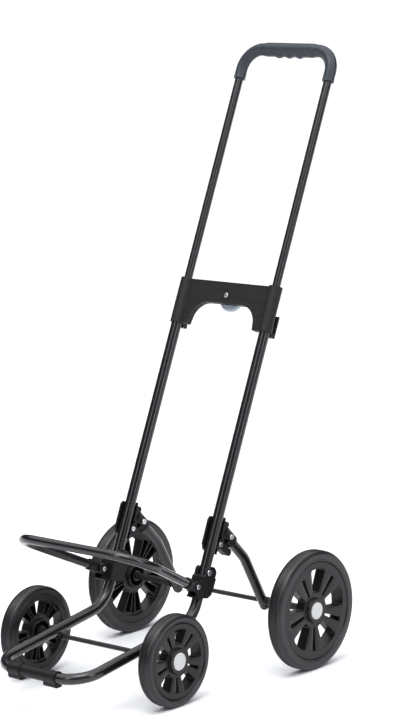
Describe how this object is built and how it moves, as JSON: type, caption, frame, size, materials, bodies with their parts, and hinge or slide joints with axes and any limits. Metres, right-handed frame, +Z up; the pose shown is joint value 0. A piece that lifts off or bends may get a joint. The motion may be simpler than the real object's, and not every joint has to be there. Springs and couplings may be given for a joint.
{
  "type": "folding shopping trolley frame",
  "caption": "Folding wheeled trolley frame: leaning tubular frame, telescopic U handle with soft grip, tilting bag platform, fold-in rear legs with large wheels, small front wheels.",
  "frame": {"origin": "on the floor under the middle of the frame: half way across the width, and half way from the front bar to the back of the grip", "axes": "+Z up, +Y to the rear where the handle leans, +X to the user's right as they push; front wheels towards -Y"},
  "size_m": [0.4314, 0.6986, 1.0141],
  "materials": {
    "black_tube": "gloss black powder coat",
    "black_axle": "satin black",
    "zinc": "bright zinc plate",
    "tyre_rubber": "dark grey solid rubber",
    "wheel_plastic": "semi-gloss black moulding",
    "cap_white": "pale satin moulding",
    "nylon_black": "black nylon",
    "grip_soft": "blue-grey soft plastic",
    "knob_grey": "light grey satin moulding",
    "bridge_plastic": "dark charcoal matte moulding",
    "bracket_plastic": "near-black matte moulding"
  },
  "bodies": {
    "frame": {"axle_saddle_left": "black_tube", "axle_saddle_right": "black_tube", "bag_hook_left": "bridge_plastic", "bag_hook_right": "bridge_plastic", "bridge_front_shell": "bridge_plastic", "bridge_rear_shell": "bridge_plastic", "foot_collar_left": "bracket_plastic", "foot_collar_right": "bracket_plastic", "frame_tube_left": "black_tube", "frame_tube_right": "black_tube", "front_axle": "black_axle", "front_axle_retainers": "zinc", "front_axle_spacers": "nylon_black", "front_tie_tube": "black_tube", "handle_guide_bushes": "nylon_black", "leg_bracket_left": "bracket_plastic", "leg_bracket_right": "bracket_plastic", "leg_pivot_rivets": "zinc", "lock_washer": "nylon_black", "platform_bracket_bolts": "zinc", "platform_bracket_left": "bracket_plastic", "platform_bracket_right": "bracket_plastic", "platform_pivot_rivets": "zinc"},
    "handle": {"handle_tube": "black_tube", "grip": "grip_soft", "handle_slide_plugs": "nylon_black"},
    "lock_knob": {"lock_knob": "knob_grey", "lock_cam": "nylon_black", "lock_screw": "zinc"},
    "lock_bar_left": {"lock_bar_left": "nylon_black"},
    "lock_bar_right": {"lock_bar_right": "nylon_black"},
    "platform": {"platform_tube": "black_tube", "platform_eye_left": "bracket_plastic", "platform_eye_right": "bracket_plastic"},
    "rear_legs": {"leg_tube_left": "black_tube", "leg_tube_right": "black_tube", "leg_fitting_left": "bracket_plastic", "leg_fitting_right": "bracket_plastic", "leg_bolts": "zinc", "leg_end_plugs": "nylon_black", "rear_axle": "black_axle", "rear_axle_spacers": "nylon_black", "rear_axle_retainers": "zinc"},
    "front_wheel_left": {"front_tyre_left": "tyre_rubber", "front_wheel_centre_left": "wheel_plastic", "front_hub_bush_left": "nylon_black", "front_hub_cap_left": "cap_white"},
    "front_wheel_right": {"front_tyre_right": "tyre_rubber", "front_wheel_centre_right": "wheel_plastic", "front_hub_bush_right": "nylon_black", "front_hub_cap_right": "cap_white"},
    "rear_wheel_left": {"rear_tyre_left": "tyre_rubber", "rear_wheel_centre_left": "wheel_plastic", "rear_hub_bush_left": "nylon_black", "rear_hub_cap_left": "cap_white"},
    "rear_wheel_right": {"rear_tyre_right": "tyre_rubber", "rear_wheel_centre_right": "wheel_plastic", "rear_hub_bush_right": "nylon_black", "rear_hub_cap_right": "cap_white"}
  },
  "joints": [
    {"name": "handle_slide", "type": "slide", "parent": "frame", "child": "handle", "axis": [0, -0.4155, -0.9096], "range_m": [0, 0.34]},
    {"name": "lock_knob_turn", "type": "hinge", "parent": "frame", "child": "lock_knob", "pos_m": [0, 0.15502, 0.60279], "axis": [0, 0.9096, -0.4155], "range_deg": [0, 90]},
    {"name": "lock_bar_left_slide", "type": "slide", "parent": "frame", "child": "lock_bar_left", "axis": [1, 0, 0], "range_m": [0, 0.0021]},
    {"name": "lock_bar_right_slide", "type": "slide", "parent": "frame", "child": "lock_bar_right", "axis": [-1, 0, 0], "range_m": [0, 0.0021]},
    {"name": "platform_fold", "type": "hinge", "parent": "frame", "child": "platform", "pos_m": [0, -0.07184, 0.16463], "axis": [-1, 0, 0], "range_deg": [0, 84]},
    {"name": "rear_legs_fold", "type": "hinge", "parent": "frame", "child": "rear_legs", "pos_m": [0, -0.00314, 0.22044], "axis": [-1, 0, 0], "range_deg": [0, 60]},
    {"name": "front_wheel_left_spin", "type": "hinge", "parent": "frame", "child": "front_wheel_left", "pos_m": [-0.1527, -0.1811, 0.075], "axis": [1, 0, 0], "continuous": true},
    {"name": "front_wheel_right_spin", "type": "hinge", "parent": "frame", "child": "front_wheel_right", "pos_m": [0.1527, -0.1811, 0.075], "axis": [1, 0, 0], "continuous": true},
    {"name": "rear_wheel_left_spin", "type": "hinge", "parent": "rear_legs", "child": "rear_wheel_left", "pos_m": [-0.2008, 0.1079, 0.1], "axis": [1, 0, 0], "continuous": true},
    {"name": "rear_wheel_right_spin", "type": "hinge", "parent": "rear_legs", "child": "rear_wheel_right", "pos_m": [0.2008, 0.1079, 0.1], "axis": [1, 0, 0], "continuous": true}
  ],
  "couplings": [
    {"joint": "lock_bar_left_slide", "follows": "lock_knob_turn", "m_per_rad": 0.0012732},
    {"joint": "lock_bar_right_slide", "follows": "lock_knob_turn", "m_per_rad": 0.0012732}
  ]
}
